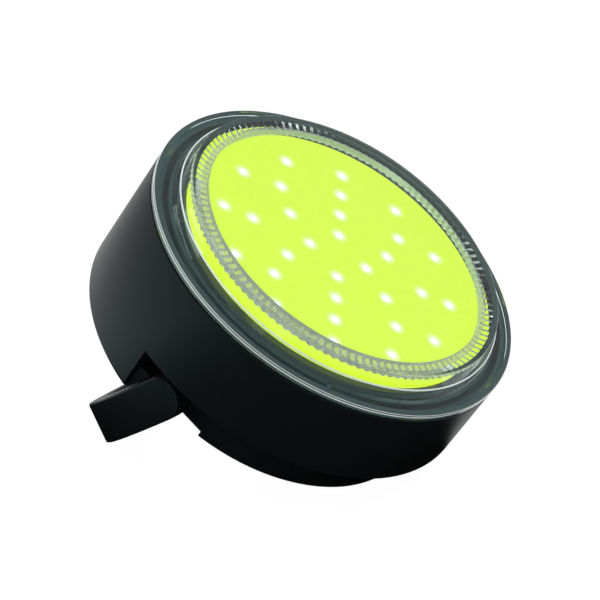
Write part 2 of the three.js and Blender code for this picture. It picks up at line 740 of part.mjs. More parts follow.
const magnet = post(magnetRadius, magnetSink, magnetSink + magnetThickness, 0, 0, drumSteps / 2);
addPiece(flare, "magnet", surface(magnet), finish(0x8d9092, 0.35, 1));

// Leads: battery to control board, and control board to LED board
const leadRadius = 0.6;

function lead(points) {
  const section = new THREE.Shape();
  section.absarc(0, 0, leadRadius, 0, 2 * Math.PI, false);
  const extrudePath = new THREE.CatmullRomCurve3(points.map((point) => new THREE.Vector3(...point)));
  const settings = { steps: leadSteps, curveSegments: wireSteps, bevelEnabled: false, extrudePath };
  return surface(solid(new THREE.ExtrudeGeometry(section, settings)));
}
const tagTop = bayTop + bayWall + tagWidth / 2 + gap;
const tagMiddle = contactOuter - contactThickness / 2;
const padHeight = controlBoardLow + boardThickness + gap; // where the leads meet the control board
const bayClear = bayTop + bayWall + 2 * tagWidth; // leads cross the top of the bay at this height
const bayEdge = bayHalfWidth + bayWall + tagWidth;
const leadInset = 6.25; // from the contact's tag to where the red lead leaves the bay
const padX = controlHalfWidth / 2 - buttonReach;
const padY = controlHalfLength / 2;
addPiece(flare, "battery_lead_red", lead([
  [-cellPitch, -tagMiddle, tagTop],
  [-cellPitch, -tagMiddle, tagTop + tagWidth],
  [-bayHalfWidth, leadInset - tagMiddle, bayClear],
  [-bayEdge, -bayHalfWidth + cellRadius, bayTop],
  [padX, -padY - leadRadius, padHeight + tagWidth],
  [padX, -padY, padHeight],
]), finish(0xb3261e, 0.6));
addPiece(flare, "battery_lead_black", lead([
  [cellPitch, tagMiddle, tagTop],
  [cellPitch, tagMiddle, tagTop + tagWidth],
  [0, bayHalfWidth, bayClear],
  [-cellPitch, bayHalfWidth - tagWidth, bayClear],
  [-bayEdge, bayHalfWidth - cellRadius, bayTop],
  [padX, padY + leadRadius, padHeight + tagWidth],
  [padX, padY, padHeight],
]), finish(0x1a1a1a, 0.6));
["led_lead_red", "led_lead_black"].forEach((name, i) => {
  const y = sides[i] * tagWidth;
  const low = -buttonReach - tagWidth;
  addPiece(flare, name, lead([
    [low, y, padHeight],
    [low, y, padHeight + 2 * tagWidth],
    [low + 2 * tagWidth, y, boardLow - 2 * tagWidth],
    [low + 2 * tagWidth, y, boardLow - gap],
  ]), finish(i ? 0x1a1a1a : 0xb3261e, 0.6));
});

// Bail: a half-ring strap with round ends, drawn shut and then swung open about its pivots
const socketDepth = 3.1;

function bailStrap() {
  const half = bailWidth / 2;
  const [low, high] = [bailEdgeRound - half, half - bailEdgeRound];
  const ring = turned([
    ...fillet(housingRadius - bailEdgeRound, low, bailEdgeRound, -90, 0),
    ...fillet(housingRadius - bailEdgeRound, high, bailEdgeRound, 0, 90),
    ...fillet(strapInner + bailEdgeRound, high, bailEdgeRound, 90, 180),
    ...fillet(strapInner + bailEdgeRound, low, bailEdgeRound, 180, 270),
    [housingRadius - bailEdgeRound, -half],
  ]);
  const reach = housingRadius + overrun;
  const kept = block([0, -reach, -bailWidth], [reach, reach, bailWidth])
    .add(crossPin(half, -reach, reach, 0, 0, 2 * smallSteps));
  let body = ring.intersect(kept);
  for (const side of sides) {
    const [mouth, bottom] = [side * (strapInner - overrun), side * (strapInner + socketDepth)];
    body = body.subtract(crossPin(pinRadius + gap, mouth, bottom, 0, 0, tinySteps));
  }
  return body;
}
const bailHinge = new THREE.Group();
bailHinge.position.z = pivotHeight;
bailHinge.rotation.y = toRadians(bailOpenAngle);
flare.add(bailHinge);
addPiece(bailHinge, "bail", surface(bailStrap()), finish(0x14191b, 0.45));

// Pivot pins: pressed into the housing's bosses, with the bail turning on their outer ends
const pinInner = collarFace - pinDepth + gap;
const pinOuter = strapInner + socketDepth - gap;
sides.forEach((side, i) => {
  const pin = crossPin(pinRadius, side * pinInner, side * pinOuter, 0, pivotHeight, tinySteps);
  addPiece(flare, `bail_pin_${i + 1}`, surface(pin), finish(0xb9bdc0, 0.3, 1));
});

// The flare stands on the rear lip and on the tip of the open bail. Both corners are round, so the floor is
// the line that touches both circles
const heel = new THREE.Vector2(rebateRadius - lipRound, lipRound);
const open = toRadians(bailOpenAngle);
const along = housingRadius - bailEdgeRound;
const across = bailWidth / 2 - bailEdgeRound;
const toe = new THREE.Vector2(
  along * Math.cos(open) + across * Math.sin(open),
  pivotHeight - along * Math.sin(open) + across * Math.cos(open),
);
const span = heel.clone().sub(toe);
flare.rotation.y = span.angle() - Math.asin((lipRound - bailEdgeRound) / span.length());

const standing = new THREE.Group();
standing.name = "led_safety_flare";
standing.add(flare);
const bounds = new THREE.Box3().setFromObject(standing, true);
const middle = bounds.getCenter(new THREE.Vector3());
standing.position.set(-middle.x, -middle.y, -bounds.min.z);

export default standing;
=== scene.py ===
import json
import math
import bpy
from mathutils import Matrix, Vector


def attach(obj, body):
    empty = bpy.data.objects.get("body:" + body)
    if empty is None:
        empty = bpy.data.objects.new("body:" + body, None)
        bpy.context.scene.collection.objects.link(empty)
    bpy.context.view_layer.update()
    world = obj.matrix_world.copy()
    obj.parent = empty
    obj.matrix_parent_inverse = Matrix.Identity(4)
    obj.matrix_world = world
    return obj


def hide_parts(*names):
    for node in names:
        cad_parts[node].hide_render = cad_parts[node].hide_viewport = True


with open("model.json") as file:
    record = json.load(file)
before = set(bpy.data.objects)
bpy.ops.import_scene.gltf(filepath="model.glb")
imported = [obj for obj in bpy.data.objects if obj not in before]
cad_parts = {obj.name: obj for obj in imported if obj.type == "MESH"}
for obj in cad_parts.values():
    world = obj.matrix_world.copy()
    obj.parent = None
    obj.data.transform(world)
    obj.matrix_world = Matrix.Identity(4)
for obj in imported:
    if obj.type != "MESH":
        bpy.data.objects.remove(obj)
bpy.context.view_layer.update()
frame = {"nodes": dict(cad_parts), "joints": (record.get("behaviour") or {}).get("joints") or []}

# Where the flare stands: it leans back on its open bail, so its lens axis is tipped off the upright.
# Each piece is drawn upright and in millimetres, with the lens axis as Z and the rear face at zero,
# and is then put in its seat here.
joints = {joint["name"]: joint for joint in frame["joints"]}
lens_axis = Vector(joints["button_press"]["axis"])
pivot = Vector(joints["bail_hinge"]["pos_m"])
pivot_height = 6.4
rear_middle = pivot - lens_axis * pivot_height / 1000
lean = math.atan2(lens_axis.x, lens_axis.z)
seat = Matrix.Translation(rear_middle) @ Matrix.Rotation(lean, 4, "Y") @ Matrix.Scale(0.001, 4)

# Camera: a long lens a little above the flare, at the left of its bright face, turned as the
# photograph was.
bpy.ops.object.camera_add(
    location=(0.34769, -0.51328, 0.26136),
    rotation=[math.radians(turn) for turn in (70.457, 0.273, 33.986)],
)
camera = bpy.context.active_object
camera.data.lens = 158.618
camera.data.sensor_width = 36
camera.data.clip_start = 0.01
bpy.context.scene.camera = camera
bpy.context.scene.view_settings.view_transform = "Standard"

# Studio: a plain white table under a soft white sky, and two large soft lamps. The table is white to
# the camera and keeps a faint shadow of the flare.
table_share = 0.88  # how much of the white table's look is its own glow
mirror_dim = 0.4  # how much darker the sky is in what the flare mirrors


def new_finish(name):
    """A material, its nodes, their links and its shader."""
    material = bpy.data.materials.new(name)
    material.use_nodes = True
    nodes = material.node_tree.nodes
    return material, nodes, material.node_tree.links, nodes["Principled BSDF"]


def sums(nodes, links, operation, first, second=None, third=None):
    """One step of arithmetic in a material."""
    step = nodes.new("ShaderNodeMath")
    step.operation = operation
    for socket, value in zip(step.inputs, (first, second, third)):
        if isinstance(value, (int, float)):
            socket.default_value = value
        elif value is not None:
            links.new(value, socket)
    return step.outputs[0]


def background_seen(nodes, links):
    """Is on for rays that see the background, mirror it or pass through clear plastic to it."""
    ray = nodes.new("ShaderNodeLightPath").outputs
    outside = sums(nodes, links, "MAXIMUM", ray["Is Camera Ray"], ray["Is Glossy Ray"])
    return sums(nodes, links, "MAXIMUM", outside, ray["Is Transmission Ray"])


def mixed(nodes, links, share, first, second, end):
    """Mixes two shaders by a share and joins them to the end of the tree."""
    mix = nodes.new("ShaderNodeMixShader")
    links.new(share, mix.inputs["Fac"])
    links.new(first.outputs[0], mix.inputs[1])
    links.new(second.outputs[0], mix.inputs[2])
    links.new(mix.outputs[0], nodes.new(end).inputs["Surface"])


bpy.ops.mesh.primitive_plane_add(size=8, location=(0, 0, -0.0001))
table = bpy.context.active_object
table.name = "table"
table_finish, nodes, links, _ = new_finish("white table")
nodes.clear()
lit = nodes.new("ShaderNodeBsdfDiffuse")
lit.inputs["Color"].default_value = (0.8, 0.8, 0.8, 1)
glow = nodes.new("ShaderNodeEmission")
glow.inputs["Strength"].default_value = 1.1
share = sums(nodes, links, "MULTIPLY", background_seen(nodes, links), table_share)
mixed(nodes, links, share, lit, glow, "ShaderNodeOutputMaterial")
table.data.materials.append(table_finish)

world = bpy.data.worlds.new("white studio")
bpy.context.scene.world = world
world.use_nodes = True
nodes = world.node_tree.nodes
links = world.node_tree.links
nodes.clear()
sky = nodes.new("ShaderNodeBackground")
sky.inputs["Color"].default_value = (0.7, 0.7, 0.7, 1)
white = nodes.new("ShaderNodeBackground")
glossy = nodes.new("ShaderNodeLightPath").outputs["Is Glossy Ray"]
links.new(sums(nodes, links, "MULTIPLY_ADD", glossy, -mirror_dim, 1), white.inputs["Strength"])
mixed(nodes, links, background_seen(nodes, links), sky, white, "ShaderNodeOutputWorld")

for name, place, size, watts in (
    ("left soft lamp", (-0.7, -0.35, 0.8), 0.7, 5),
    ("right soft lamp", (0.6, 0.6, 0.9), 0.7, 4),
):
    bpy.ops.object.light_add(type="AREA", location=place)
    lamp = bpy.context.active_object
    lamp.name = name
    lamp.data.energy = watts
    lamp.data.size = size
    lamp.rotation_euler = (Vector((0, 0, 0.03)) - Vector(place)).to_track_quat("-Z", "Y").to_euler()
    lamp.visible_glossy = False

# A black card lies on the table in front of the flare, as a photographer lays it to darken what a
# glossy side mirrors. Only mirrored light meets it.
bpy.ops.mesh.primitive_plane_add(size=1, location=(0.08, -0.25, 0.0005))
card = bpy.context.active_object
card.name = "black card"
card.scale = (0.4, 0.54, 1)
bpy.ops.object.transform_apply()
card_finish, nodes, links, shader = new_finish("black card")
shader.inputs["Base Color"].default_value = (0.004, 0.004, 0.004, 1)
shader.inputs["Specular IOR Level"].default_value = 0
card.data.materials.append(card_finish)
card.visible_camera = False
card.visible_diffuse = False
card.visible_transmission = False
card.visible_shadow = False

# Housing: the drum that carries everything, moulded in one piece of black satin plastic. A rebate
# round its rear takes the folded bail, and a pocket at each side holds a boss for the bail's pin and
# the block that the open bail rests on.
housing_radius = 50
front = 34.7
wall = 2.4
rear_wall = 2.5
gap = 0.3
rebate_radius = 43.1
rebate_high = 12.7
lip_round = 1.35
bail_width = 10.9
strap_inner = 45.5
open_turn = math.radians(113.6)
past_drum, past_rear = 52, -2  # how far a cutting tool reaches
sector_reach = 75
pocket_floor, pocket_end = 39.2, 10.6


def drawn(name, points):
    """Starts a piece as a line, pulled out from one corner to the next."""
    bpy.ops.object.select_all(action="DESELECT")
    bpy.ops.mesh.primitive_plane_add(size=1)
    piece = bpy.context.active_object
    piece.name = name
    bpy.ops.object.mode_set(mode="EDIT")
    bpy.ops.mesh.select_all(action="SELECT")
    bpy.ops.mesh.merge(type="CENTER")
    bpy.ops.transform.translate(value=points[0])
    for start, end in zip(points, points[1:]):
        step = [b - a for a, b in zip(start, end)]
        bpy.ops.mesh.extrude_vertices_move(TRANSFORM_OT_translate={"value": step})
    bpy.ops.mesh.select_all(action="SELECT")
    return piece


def closed_up():
    """Joins doubled corners, points all faces outwards and leaves edit mode."""
    bpy.ops.mesh.select_all(action="SELECT")
    bpy.ops.mesh.remove_doubles(threshold=0.0005)
    bpy.ops.mesh.normals_make_consistent(inside=False)
    bpy.ops.object.mode_set(mode="OBJECT")


def turned(name, profile, steps=180):
    """Spins a profile of (radius, height) round the lens axis."""
    piece = drawn(name, [(radius, 0, height) for radius, height in profile])
    bpy.ops.mesh.spin(steps=steps, angle=math.tau, center=(0, 0, 0), axis=(0, 0, 1))
    closed_up()
    return piece


def pressed(name, outline, low, high):
    """Fills an outline of (x, y) at one height and pushes it up to another."""
    piece = drawn(name, [(x, y, low) for x, y in outline])
    bpy.ops.mesh.edge_face_add()
    bpy.ops.mesh.extrude_region_move(TRANSFORM_OT_translate={"value": (0, 0, high - low)})
    closed_up()
    return piece


def rounding(radius, height, size, start, end, steps=5):
    """Points of a round corner: its centre, its size and the degrees it runs between."""
    turns = [math.radians(start + (end - start) * i / steps) for i in range(steps + 1)]
    return [(radius + size * math.cos(t), height + size * math.sin(t)) for t in turns]


def rounded_box(half_x, half_y, corner):
    """Outline of a rectangle with round corners."""
    x, y = half_x - corner, half_y - corner
    return (rounding(x, y, corner, 0, 90, 6) + rounding(-x, y, corner, 90, 180, 6)
            + rounding(-x, -y, corner, 180, 270, 6) + rounding(x, -y, corner, 270, 360, 6))


def rod(name, radius, low, high, x=0, y=0, corners=48):
    """An upright round bar."""
    bpy.ops.object.select_all(action="DESELECT")
    bpy.ops.mesh.primitive_cylinder_add(
        vertices=corners, radius=radius, depth=high - low, location=(x, y, (low + high) / 2))
    piece = bpy.context.active_object
    piece.name = name
    bpy.ops.object.transform_apply()
    return piece


def cross_rod(name, radius, start, end, height, corners=48):
    """A round bar along Y, through the pivots."""
    bpy.ops.object.select_all(action="DESELECT")
    bpy.ops.mesh.primitive_cylinder_add(
        vertices=corners, radius=radius, depth=abs(end - start),
        location=(0, (start + end) / 2, height), rotation=(math.pi / 2, 0, 0))
    piece = bpy.context.active_object
    piece.name = name
    bpy.ops.object.transform_apply()
    return piece


def bar(name, low, high):
    """A straight block between two corners."""
    bpy.ops.object.select_all(action="DESELECT")
    bpy.ops.mesh.primitive_cube_add(
        size=1, location=[(a + b) / 2 for a, b in zip(low, high)],
        scale=[b - a for a, b in zip(low, high)])
    piece = bpy.context.active_object
    piece.name = name
    bpy.ops.object.transform_apply()
    return piece


def worked(piece, tool, operation):
    """Cuts a tool out of a piece, joins it on or keeps only what both share. The tool is used up."""
    modifier = piece.modifiers.new("work", "BOOLEAN")
    modifier.operation = operation
    modifier.solver = "MANIFOLD"
    modifier.object = tool
    bpy.context.view_layer.objects.active = piece
    bpy.ops.object.modifier_apply(modifier=modifier.name)
    bpy.data.meshes.remove(tool.data)
    return piece


def softened(piece, width, segments=2):
    """Rounds the sharp edges of a piece."""
    modifier = piece.modifiers.new("soften", "BEVEL")
    modifier.width = width
    modifier.segments = segments
    modifier.limit_method = "ANGLE"
    modifier.angle_limit = math.radians(40)
    bpy.context.view_layer.objects.active = piece
    bpy.ops.object.modifier_apply(modifier=modifier.name)
    return piece


def placed(piece, material, body, slot, *cad_nodes, smooth=35):
    """Puts a finished piece in its seat, paints it and hangs it on its CAD body."""
    bpy.ops.object.select_all(action="DESELECT")
    piece.select_set(True)
    bpy.context.view_layer.objects.active = piece
    piece.data.transform(seat)
    bpy.ops.object.shade_smooth_by_angle(angle=math.radians(smooth))
    piece.data.materials.clear()
    piece.data.materials.append(material)
    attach(piece, body)
    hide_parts(*cad_nodes)
    return piece


def moulded(name, dark, light, roughness, grain, height, specular=0.5, tint=(1, 1, 1)):
    """Moulded plastic or rubber: a little cloudiness in its colour, uneven gloss and a fine grain."""
    material, nodes, links, shader = new_finish(name)
    where = nodes.new("ShaderNodeTexCoord")
    cloud = nodes.new("ShaderNodeTexNoise")
    cloud.inputs["Scale"].default_value = 60
    cloud.inputs["Detail"].default_value = 4
    links.new(where.outputs["Object"], cloud.inputs["Vector"])
    colour = nodes.new("ShaderNodeMix")
    colour.data_type = "RGBA"
    colour.inputs["A"].default_value = (*dark, 1)
    colour.inputs["B"].default_value = (*light, 1)
    links.new(cloud.outputs["Fac"], colour.inputs["Factor"])
    links.new(colour.outputs["Result"], shader.inputs["Base Color"])
    gloss = nodes.new("ShaderNodeMapRange")
    gloss.inputs["To Min"].default_value = roughness - 0.04
    gloss.inputs["To Max"].default_value = roughness + 0.04
    links.new(cloud.outputs["Fac"], gloss.inputs["Value"])
    links.new(gloss.outputs["Result"], shader.inputs["Roughness"])
    fine = nodes.new("ShaderNodeTexNoise")
    fine.inputs["Scale"].default_value = grain
    fine.inputs["Detail"].default_value = 2
    links.new(where.outputs["Object"], fine.inputs["Vector"])
    bump = nodes.new("ShaderNodeBump")
    bump.inputs["Strength"].default_value = 0.3
    bump.inputs["Distance"].default_value = height
    links.new(fine.outputs["Fac"], bump.inputs["Height"])
    links.new(bump.outputs["Normal"], shader.inputs["Normal"])
    shader.inputs["Specular IOR Level"].default_value = specular
    shader.inputs["Specular Tint"].default_value = (*tint, 1)
    return material


black_plastic = moulded("black satin plastic", (0.004, 0.005, 0.0055), (0.0055, 0.0065, 0.007), 0.4, 2500,
                        0.00002, specular=0.27, tint=(0.6, 0.95, 1))

slant = open_turn - math.pi / 2
bail_clear = bail_width / 2 + gap


def open_edge(height):
    """Where the edge of the open bail stands at a height, with its clearance."""
    return -bail_clear / math.cos(slant) - (pivot_height - height) * math.tan(slant)


rebate_half = math.pi / 2 - math.asin(open_edge(0) / strap_inner)


def rebate_room(kept):
    """The room that the folded bail needs, with a wall of the given thickness kept round it."""
    inner = rebate_radius - kept
    top = rebate_high + kept
    outside = [(past_drum, top), (past_drum, past_rear)]
    if kept == 0:
        outside = [(housing_radius - 0.5, top), (housing_radius, top + 0.25),
                   (past_drum, top + 0.25), (past_drum, past_rear)]
    lip = inner - lip_round
    room = turned("rebate room", [
        (lip, past_rear), *rounding(lip, lip_round, lip_round, -90, 0), (inner, top),
        *outside, (lip, past_rear)])
    half = rebate_half + kept / rebate_radius
    turns = [t * half for t in (-1, -0.5, 0, 0.5, 1)]
    rim = [(sector_reach * math.cos(t), sector_reach * math.sin(t)) for t in turns]
    worked(room, pressed("rebate sector", [(0, 0), *rim], -4, top + 2), "INTERSECT")
    for side in (-1, 1):
        floor = pocket_floor - kept
        edge = math.tan(rebate_half - math.pi / 2)
        plan = [(-floor * edge - kept, floor), (-past_drum * edge - kept, past_drum),
                (pocket_end + kept, past_drum), (pocket_end + kept, floor)]
        plan = [(x, side * y) for x, y in plan]
        worked(room, pressed("pivot pocket", plan, past_rear, top), "UNION")
    return room


bay_half_width, bay_half_length = 22.7, 28.9
bay_top = 20.6
bay_wall = 1.6
door_recess = 3.6
board_low = 33.0
screw_reach = 36.5
button_reach = 37.0
ear_reach = 31.0
drum_inner = housing_radius - wall
post_radius = 3.2
screw_hole = 1.4
half_rear = rear_wall / 2
door_tabs = 12  # how far the door's two tabs stand from its middle line
ear_half = 5.8
web_top = rebate_high + 1.2
boss_radius, boss_root = 4.7, 38
stop_back, stop_high, stop_end = -13, 7.2, 47.4
pin_hole = 1.8

housing = turned("drum_housing", [
    (0, 0), *rounding(housing_radius - 1.6, 1.6, 1.6, -90, 0, 8),
    *rounding(housing_radius - 0.3, front - 0.3, 0.3, 0, 90, 3), (drum_inner, front), (0, front)])
worked(housing, rebate_room(0), "DIFFERENCE")
hollow = turned("drum hollow", [
    (0, rear_wall), (drum_inner, rear_wall), (drum_inner, 30.7), (48.4, 30.7), (48.4, 32.6),
    (drum_inner, 32.6), (drum_inner, front + 2), (0, front + 2)])
worked(hollow, rebate_room(wall), "DIFFERENCE")
worked(housing, hollow, "DIFFERENCE")
worked(housing, turned("seal ledge", [
    (48.8, 20), (48.8, 26.4), (44.4, 26.4), (44.4, 24.8), (drum_inner, 20), (48.8, 20)]), "UNION")
for half_x, half_y, corner, top in (
    (bay_half_width + 5, bay_half_length + 5, 8, door_recess + bay_wall),
    (bay_half_width + bay_wall, bay_half_length + bay_wall, 4.6, bay_top + bay_wall),
):
    worked(housing, pressed("bay wall", rounded_box(half_x, half_y, corner), half_rear, top), "UNION")
ear_top = door_recess + bay_wall
worked(housing, rod("screw ear", 7.1, half_rear, ear_top, ear_reach), "UNION")
worked(housing, bar("ear bridge", (bay_half_width, -7.1, half_rear), (ear_reach, 7.1, ear_top)), "UNION")
worked(housing, rod("door screw post", 3, half_rear, door_recess + 7, ear_reach), "UNION")
for turn in (45, 135, 225, 315):
    x, y = screw_reach * math.cos(math.radians(turn)), screw_reach * math.sin(math.radians(turn))
    worked(housing, rod("board post", post_radius, half_rear, board_low - gap, x, y), "UNION")
for side in (-1, 1):
    y = side * screw_reach
    worked(housing, rod("control post", post_radius, half_rear, 8.4, -button_reach, side * 11), "UNION")
    worked(housing, rod("board screw post", post_radius, web_top, board_low - gap, 0, y), "UNION")
    worked(housing, rod("board screw hole", screw_hole, board_low - 7.3, board_low, 0, y), "DIFFERENCE")
worked(housing, rod("control peg", 1.1, 8, 10.3, -button_reach, 11), "UNION")
worked(housing, rod("control screw hole", screw_hole, 2.8, 8.7, -button_reach, -11), "DIFFERENCE")
worked(housing, rod("button hole", 6.3, past_rear, 4.5, -button_reach, corners=64), "DIFFERENCE")
bay = rounded_box(bay_half_width, bay_half_length, 3)
worked(housing, pressed("battery bay", bay, past_rear, bay_top), "DIFFERENCE")
door_seat = rounded_box(bay_half_width + 3.7, bay_half_length + 3.7, 5.3)
worked(housing, pressed("door seat", door_seat, past_rear, door_recess), "DIFFERENCE")
worked(housing, rod("ear seat", ear_half, past_rear, door_recess, ear_reach, corners=64), "DIFFERENCE")
ear_seat = bar("ear seat bridge", (0, -ear_half, past_rear), (ear_reach, ear_half, door_recess))
worked(housing, ear_seat, "DIFFERENCE")
worked(housing, rod("door screw hole", screw_hole, 0, door_recess + 6.7, ear_reach), "DIFFERENCE")
for side in (-1, 1):
    y = side * door_tabs
    worked(housing, bar("tab slot", (-28.2, y - 3.3, 2.5), (-24.6, y + 3.3, 4.1)), "DIFFERENCE")
    x, y = side * 15, side * 28.35
    worked(housing, bar("tag slot", (x - 1.8, y - 0.55, 18.6), (x + 1.8, y + 0.55, 24.2)), "DIFFERENCE")
for side in (-1, 1):
    root = side * boss_root
    boss_face = side * (math.sqrt(strap_inner ** 2 - (bail_width / 2) ** 2) - gap)
    low_corner = (-boss_radius, min(root, boss_face), pivot_height)
    worked(housing, bar("boss web", low_corner, (boss_radius, max(root, boss_face), web_top)), "UNION")
    worked(housing, cross_rod("pivot boss", boss_radius, root, boss_face, pivot_height, 64), "UNION")
    worked(housing, cross_rod("boss collar", 2.6, root, side * 45.2, pivot_height), "UNION")
    profile = [(stop_back, 0), (open_edge(0), 0), (open_edge(stop_high), stop_high), (stop_back, stop_high)]
    stop = pressed("bail stop", profile, min(root, side * stop_end), max(root, side * stop_end))
    stop.data.transform(Matrix(((1, 0, 0, 0), (0, 0, 1, 0), (0, 1, 0, 0), (0, 0, 0, 1))))
    bpy.ops.object.mode_set(mode="EDIT")
    closed_up()
    worked(housing, stop, "UNION")
    worked(housing, cross_rod("pin hole", pin_hole, side * 40.8, side * 47.2, pivot_height), "DIFFERENCE")
placed(housing, black_plastic, "flare", "housing", "housing")

# Pivot pins: two short pins of zinc-plated steel with eased ends. Each is pressed into one of the
# housing's bosses, and the bail turns on its outer end.


def metal(name, colour, roughness, grain):
    """Plain or plated metal, with its gloss a little uneven and fine marks from making it."""
    material = moulded(name, colour, [0.92 * part for part in colour], roughness, grain, 0.00001)
    material.node_tree.nodes["Principled BSDF"].inputs["Metallic"].default_value = 1
    return material


def repainted(material, *names):
    """Gives pieces that keep their CAD shape their finish."""
    for name in names:
        frame["nodes"][name].data.materials.clear()
        frame["nodes"][name].data.materials.append(material)


steel = metal("zinc-plated steel", (0.56, 0.57, 0.58), 0.3, 1500)
for side, name in ((-1, "bail_pin_1"), (1, "bail_pin_2")):
    pin = cross_rod(f"{name}_steel", 1.5, side * 41.1, side * 48.3, pivot_height, 32)
    softened(pin, 0.2)
    placed(pin, steel, "flare", "pin", name)

# Battery contacts: plates stamped from nickel-plated spring steel, with a tapered coil spring where each
# cell's flat end rests.
nickel = metal("nickel plate", (0.66, 0.63, 0.57), 0.28, 900)
repainted(nickel, "positive_contact", "negative_contact", "link_contact_1", "link_contact_2")

# Cells: three AA cells side by side, turned alternate ways. Each is a drawn steel can in a plain
# wrapper, with a pressed nub.
cell_length, cell_radius, cell_high = 50.2, 7.1, 13
cell_pitch, cell_foot = 15, 22.4
cell = turned("cell", [
    (0, 0.15), (4.8, 0.15), (5.1, 0), *rounding(cell_radius - 0.8, 0.8, 0.8, -90, 0),
    *rounding(cell_radius - 0.8, cell_length - 2, 0.8, 0, 90), (3.6, cell_length - 1.2),
    (3.4, cell_length - 1.4), (2.9, cell_length - 1.4), (2.75, cell_length - 1.2),
    *rounding(2.45, cell_length - 0.3, 0.3, 0, 90, 3), (0, cell_length)], 64)
wrapper = moulded("plain cell wrapper", (0.3, 0.31, 0.32), (0.36, 0.37, 0.38), 0.3, 700, 0.00001)


def copied(piece, name, place):
    """A copy of a piece with a mesh of its own, moved to its place."""
    twin = piece.copy()
    twin.data = piece.data.copy()
    twin.name = name
    bpy.context.scene.collection.objects.link(twin)
    twin.data.transform(place)
    return twin


for number, way in ((1, -1), (2, 1), (3, -1)):
    place = Matrix.Translation((cell_pitch * (number - 2), -cell_foot * way, cell_high))
    piece = copied(cell, f"battery_{number}_cell", place @ Matrix.Rotation(-way * math.pi / 2, 4, "X"))
    placed(piece, wrapper, "flare", "battery", f"battery_{number}")
bpy.data.meshes.remove(cell.data)

# Control board: a small green board beside the cells, held by a screw and a peg, with the push switch
# on its rear side and four leads soldered to it.
green_board = moulded("green solder mask", (0.012, 0.1, 0.04), (0.018, 0.13, 0.05), 0.35, 2500, 0.00001)
repainted(green_board, "control_board")
switch_metal = metal("switch case", (0.5, 0.5, 0.49), 0.35, 1200)
repainted(switch_metal, "tact_switch")
switch_black = moulded("switch plunger", (0.01, 0.01, 0.01), (0.015, 0.015, 0.015), 0.5, 2000, 0.00001)
repainted(switch_black, "switch_plunger")
red_cover = moulded("red lead cover", (0.45, 0.02, 0.015), (0.5, 0.03, 0.02), 0.45, 1500, 0.00001)
repainted(red_cover, "battery_lead_red", "led_lead_red")
black_cover = moulded("black lead cover", (0.008, 0.008, 0.008), (0.012, 0.012, 0.012), 0.45, 1500, 0.00001)
repainted(black_cover, "battery_lead_black", "led_lead_black")

# Screws: small pan heads with a cross recess and a rolled thread. One holds the control board, two the
# LED board and one the battery door.
thread_pitch, thread_root, thread_crest = 0.7, 0.85, 1.1
head_radius, head_edge, head_round = 2.4, 0.45, 0.55


def screw(name, shank, place, over=False):
    """A screw with the underside of its head at a given place, head up or head down."""
    thread = []
    for turn in range(round((shank - 1) / thread_pitch)):
        low = 1 - shank + thread_pitch * turn
        thread += [(thread_root, low), (thread_crest, low + thread_pitch / 2)]
    piece = turned(name, [
        (0, -shank), (0.4, -shank), *thread, (thread_root, -0.3), (thread_root, 0),
        (head_radius, 0), (head_radius, head_edge),
        *rounding(head_radius - head_round, head_edge, head_round, 0, 90, 4),
        (0, head_edge + head_round)], 40)
    for half_x, half_y in ((1.5, 0.3), (0.3, 1.5)):
        worked(piece, bar("cross recess", (-half_x, -half_y, 0.4), (half_x, half_y, 2)), "DIFFERENCE")
    flip = Matrix.Rotation(math.pi, 4, "X") if over else Matrix.Identity(4)
    piece.data.transform(Matrix.Translation(place) @ flip)
    return piece


control_screw = screw("control_screw_steel", 6.2, (-button_reach, -11, 10.6))
placed(control_screw, steel, "flare", "screw", "control_board_screw")

# Push button: a black rubber cap through the rear wall, with a flange inside that seals it. Pressing it
# works the switch, and the rubber springs it back.
rubber = moulded("black rubber", (0.012, 0.012, 0.012), (0.018, 0.018, 0.018), 0.75, 1800,
                 0.00003, specular=0.3)
button = turned("rubber_button", [
    (0, 0.65), (3.2, 0.6), (4.6, 0.42), *rounding(5.4, 1.0, 0.6, -90, 0), (6, 2.8), (7.8, 2.8), (7.8, 3.6),
    (2, 3.6), (2, 3.9), (0, 3.9)], 96)
button.data.transform(Matrix.Translation((-button_reach, 0, 0)))
placed(button, rubber, "button", "button", "push_button")

# Battery door: a black moulded cover that drops into its seat over a rubber seal, hooked at one end and
# screwed at the other. The round magnet sits in a cup in its middle.
repainted(rubber, "door_seal")
door_thickness = 2.2
door_edge = rounded_box(bay_half_width + 3.4, bay_half_length + 3.4, 5)
door = pressed("battery_door_cover", door_edge, 0, door_thickness)
worked(door, rod("door ear", 5.5, 0, door_thickness, ear_reach, corners=64), "UNION")
worked(door, bar("door ear bridge", (0, -5.5, 0), (ear_reach, 5.5, door_thickness)), "UNION")
worked(door, rod("magnet cup", 16.9, 1.1, 5.5, corners=96), "UNION")
worked(door, rod("magnet room", 15.3, past_rear, 4.5, corners=96), "DIFFERENCE")
worked(door, rod("screw way", screw_hole, past_rear, 5, ear_reach), "DIFFERENCE")
worked(door, rod("screw head seat", 2.7, past_rear, 1.2, ear_reach), "DIFFERENCE")
for side in (-1, 1):
    y = side * door_tabs
    worked(door, bar("door tab", (-27.9, y - 3, 2.8), (-24.9, y + 3, 3.8)), "UNION")
    worked(door, bar("door tab neck", (-26.1, y - 3, 1.1), (-24.9, y + 3, 3.8)), "UNION")
placed(door, black_plastic, "flare", "door", "battery_door")
placed(screw("door_screw_steel", 7, (ear_reach, 0, 0.9), over=True), steel, "flare", "screw", "door_screw")

ferrite = metal("magnet plate", (0.3, 0.3, 0.31), 0.4, 1800)
magnet = softened(rod("round_magnet", 15, 0.2, 4.2, corners=96), 0.4, 3)
placed(magnet, ferrite, "flare", "magnet", "magnet")

